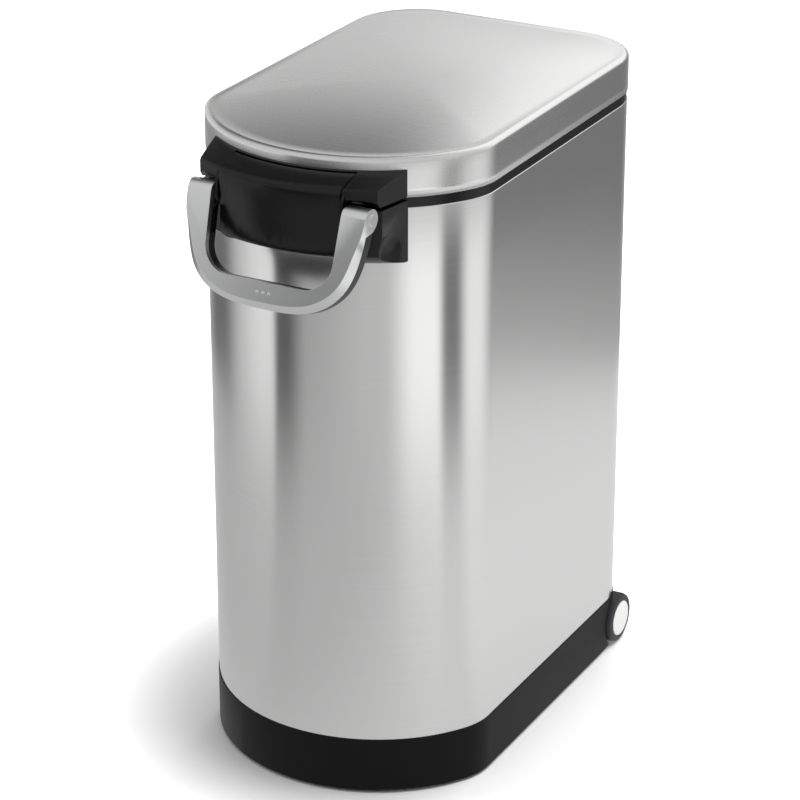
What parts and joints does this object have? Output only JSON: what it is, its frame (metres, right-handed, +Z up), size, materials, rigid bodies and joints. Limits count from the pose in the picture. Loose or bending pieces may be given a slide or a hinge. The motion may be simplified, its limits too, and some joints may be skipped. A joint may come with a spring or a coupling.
{
  "type": "pet food bin",
  "caption": "Tall D-shaped steel food bin with a hinged crowned lid, a bowed front latch worked by a swinging U handle, an inner bucket and rear wheels.",
  "frame": {"origin": "on the floor, under the middle of the whole bin's box", "axes": "+Z up, front with the latch and handle towards -Y, +X across the bin"},
  "size_m": [0.3016, 0.517, 0.6456],
  "materials": {
    "brushed_steel": "fine horizontal grain",
    "satin_metal": "satin",
    "black_plastic": "satin moulded",
    "base_plastic": "matte moulded",
    "bucket_plastic": "moulded",
    "black_rubber": "matte",
    "wheel_plastic": "matte",
    "hub_cap": "satin light grey",
    "zinc_steel": "zinc plated",
    "spring_steel": "bright"
  },
  "bodies": {
    "bin": {"body_shell": "brushed_steel", "base_skirt": "base_plastic", "foot_pads": "black_rubber", "wheel_axle": "zinc_steel", "axle_clips": "zinc_steel", "top_collar": "black_plastic", "inner_bucket": "bucket_plastic", "body_bracket": "black_plastic", "body_bracket_screws": "zinc_steel", "strike_spring": "spring_steel", "strike_screws": "zinc_steel", "hinge_bracket": "zinc_steel", "hinge_bracket_screws": "zinc_steel", "hinge_pin": "zinc_steel"},
    "lid": {"lid_shell": "brushed_steel", "lid_liner": "black_plastic", "lid_gasket": "black_rubber", "lid_hinge_leaf": "zinc_steel", "lid_hinge_screws": "zinc_steel", "lid_bracket": "black_plastic", "lid_bracket_screws": "zinc_steel", "latch_pin": "zinc_steel", "latch_spring": "spring_steel"},
    "latch": {"latch_plate": "black_plastic", "latch_hook": "black_plastic"},
    "handle": {"handle_shell": "satin_metal", "handle_grip": "black_plastic", "handle_pin_left": "satin_metal", "handle_pin_right": "satin_metal"},
    "left_wheel": {"wheel_left": "wheel_plastic", "hub_cap_left": "hub_cap"},
    "right_wheel": {"wheel_right": "wheel_plastic", "hub_cap_right": "hub_cap"}
  },
  "joints": [
    {"name": "lid_hinge", "type": "hinge", "parent": "bin", "child": "lid", "pos_m": [0, 0.25346, 0.6], "axis": [-1, 0, 0], "range_deg": [0, 95], "deforming": ["strike_spring"]},
    {"name": "handle_lift", "type": "hinge", "parent": "lid", "child": "handle", "pos_m": [0, -0.21954, 0.5965], "axis": [-1, 0, 0], "range_deg": [0, 90]},
    {"name": "latch_swing", "type": "hinge", "parent": "lid", "child": "latch", "pos_m": [0, -0.20954, 0.612], "axis": [-1, 0, 0], "range_deg": [0, 8], "deforming": ["latch_spring"]},
    {"name": "left_wheel_spin", "type": "hinge", "parent": "bin", "child": "left_wheel", "pos_m": [-0.142, 0.20546, 0.027], "axis": [1, 0, 0], "continuous": true},
    {"name": "right_wheel_spin", "type": "hinge", "parent": "bin", "child": "right_wheel", "pos_m": [0.142, 0.20546, 0.027], "axis": [1, 0, 0], "continuous": true}
  ],
  "couplings": [
    {"joint": "latch_swing", "follows": "handle_lift", "ratio": 0.0888}
  ]
}
